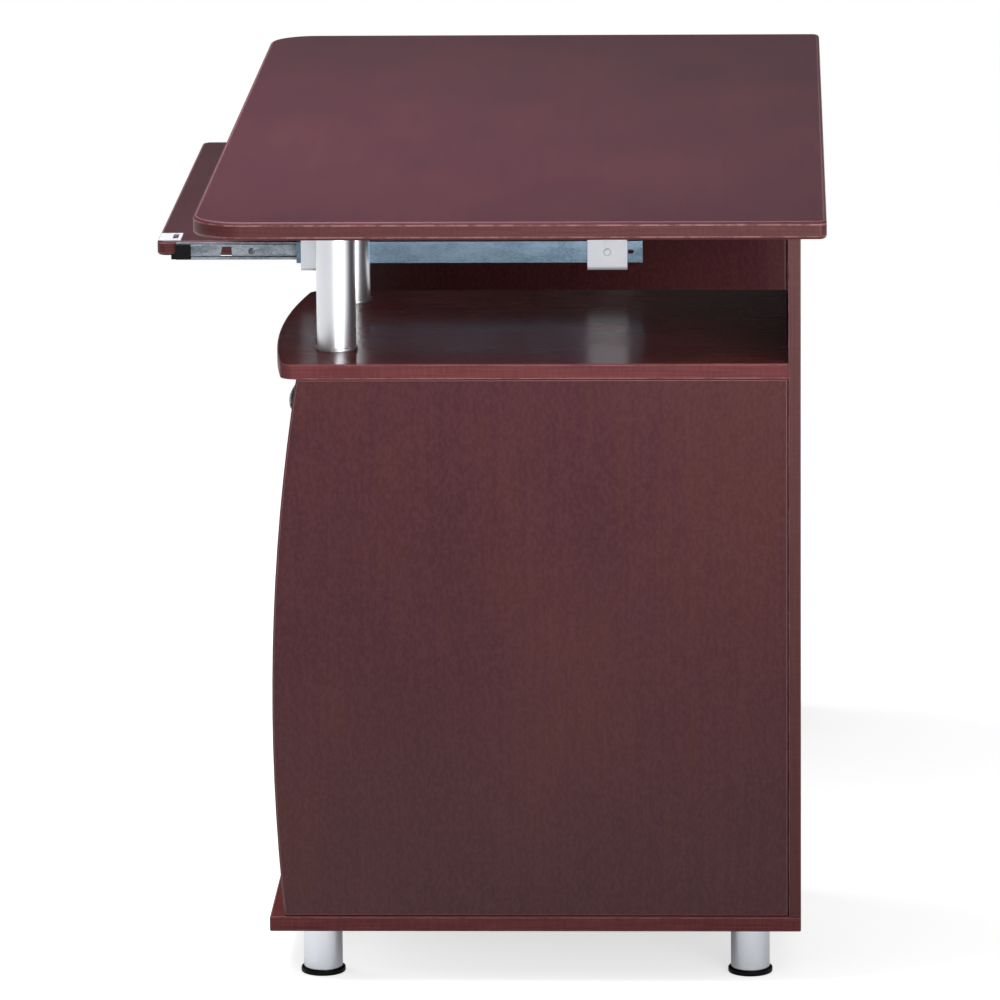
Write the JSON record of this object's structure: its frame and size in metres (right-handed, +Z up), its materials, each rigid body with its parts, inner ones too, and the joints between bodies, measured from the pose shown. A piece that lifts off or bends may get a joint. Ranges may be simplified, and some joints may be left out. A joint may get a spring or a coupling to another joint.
{
  "type": "computer desk",
  "caption": "Computer desk with two pedestals, sliding keyboard tray, drawers, a cupboard and open shelves on round metal posts and feet.",
  "frame": {"origin": "on the floor, below the centre of the overall box as stored, with the keyboard tray pulled out", "axes": "+X along the desk to a sitter's right, +Y to the back of the desk, +Z up"},
  "size_m": [1.219, 0.679, 0.762],
  "materials": {
    "laminate": "satin dark cherry laminate, fine grain along the boards",
    "drawer_board": "matt light grey melamine",
    "birch": "plain birch",
    "silver_paint": "satin silver powder coat",
    "satin_metal": "satin nickel",
    "zinc_steel": "zinc plated",
    "black_plastic": "matt black"
  },
  "bodies": {
    "desk": {"desktop": "laminate", "right_outer_side": "laminate", "right_inner_side": "laminate", "right_shelf": "laminate", "right_bottom": "laminate", "right_back": "laminate", "left_outer_side": "laminate", "left_inner_side": "laminate", "left_shelf": "laminate", "left_bottom": "laminate", "left_back": "laminate", "rear_rail": "laminate", "front_posts": "silver_paint", "post_collars": "silver_paint", "post_rods": "zinc_steel", "foot_tubes": "silver_paint", "foot_pads": "black_plastic", "tray_brackets": "silver_paint", "bracket_screws": "zinc_steel", "tray_runners": "zinc_steel", "top_drawer_runners": "zinc_steel", "middle_drawer_runners": "zinc_steel", "file_drawer_runners": "zinc_steel", "cam_fasteners": "zinc_steel", "dowels": "birch", "back_screws": "zinc_steel", "door_pivot_bushes": "black_plastic", "magnetic_catch": "black_plastic"},
    "tray": {"keyboard_tray": "laminate", "tray_rails": "zinc_steel", "tray_rail_ends": "black_plastic", "tray_rail_screws": "zinc_steel", "tray_corner_tab": "silver_paint"},
    "tray_cages": {"tray_ball_cages": "zinc_steel"},
    "top_drawer": {"top_drawer_front": "laminate", "top_drawer_sides": "drawer_board", "top_drawer_back": "drawer_board", "top_drawer_bottom": "drawer_board", "top_drawer_handle": "satin_metal", "top_drawer_rails": "zinc_steel"},
    "top_drawer_cages": {"top_drawer_ball_cages": "zinc_steel"},
    "middle_drawer": {"middle_drawer_front": "laminate", "middle_drawer_sides": "drawer_board", "middle_drawer_back": "drawer_board", "middle_drawer_bottom": "drawer_board", "middle_drawer_handle": "satin_metal", "middle_drawer_rails": "zinc_steel"},
    "middle_drawer_cages": {"middle_drawer_ball_cages": "zinc_steel"},
    "file_drawer": {"file_drawer_front": "laminate", "file_drawer_sides": "drawer_board", "file_drawer_back": "drawer_board", "file_drawer_bottom": "drawer_board", "file_drawer_handle": "satin_metal", "file_drawer_rails": "zinc_steel", "hanging_file_bars": "zinc_steel"},
    "file_drawer_cages": {"file_drawer_ball_cages": "zinc_steel"},
    "door": {"cabinet_door": "laminate", "door_handle": "satin_metal", "door_pivot_pins": "zinc_steel", "door_strike": "zinc_steel"}
  },
  "joints": [
    {"name": "keyboard_slide", "type": "slide", "parent": "desk", "child": "tray", "axis": [0, -1, 0], "range_m": [-0.123, 0.148]},
    {"name": "tray_cage_slide", "type": "slide", "parent": "desk", "child": "tray_cages", "axis": [0, -1, 0], "range_m": [-0.062, 0.0745]},
    {"name": "top_drawer_slide", "type": "slide", "parent": "desk", "child": "top_drawer", "axis": [0, -1, 0], "range_m": [0, 0.3]},
    {"name": "top_drawer_cage_slide", "type": "slide", "parent": "desk", "child": "top_drawer_cages", "axis": [0, -1, 0], "range_m": [0, 0.1505]},
    {"name": "middle_drawer_slide", "type": "slide", "parent": "desk", "child": "middle_drawer", "axis": [0, -1, 0], "range_m": [0, 0.3]},
    {"name": "middle_drawer_cage_slide", "type": "slide", "parent": "desk", "child": "middle_drawer_cages", "axis": [0, -1, 0], "range_m": [0, 0.1505]},
    {"name": "file_drawer_slide", "type": "slide", "parent": "desk", "child": "file_drawer", "axis": [0, -1, 0], "range_m": [0, 0.3]},
    {"name": "file_drawer_cage_slide", "type": "slide", "parent": "desk", "child": "file_drawer_cages", "axis": [0, -1, 0], "range_m": [0, 0.1505]},
    {"name": "door_hinge", "type": "hinge", "parent": "desk", "child": "door", "pos_m": [-0.5665, -0.1663, 0.33], "axis": [0, 0, -1], "range_deg": [0, 95]}
  ],
  "couplings": [
    {"joint": "tray_cage_slide", "follows": "keyboard_slide", "ratio": 0.5},
    {"joint": "top_drawer_cage_slide", "follows": "top_drawer_slide", "ratio": 0.5},
    {"joint": "middle_drawer_cage_slide", "follows": "middle_drawer_slide", "ratio": 0.5},
    {"joint": "file_drawer_cage_slide", "follows": "file_drawer_slide", "ratio": 0.5}
  ]
}
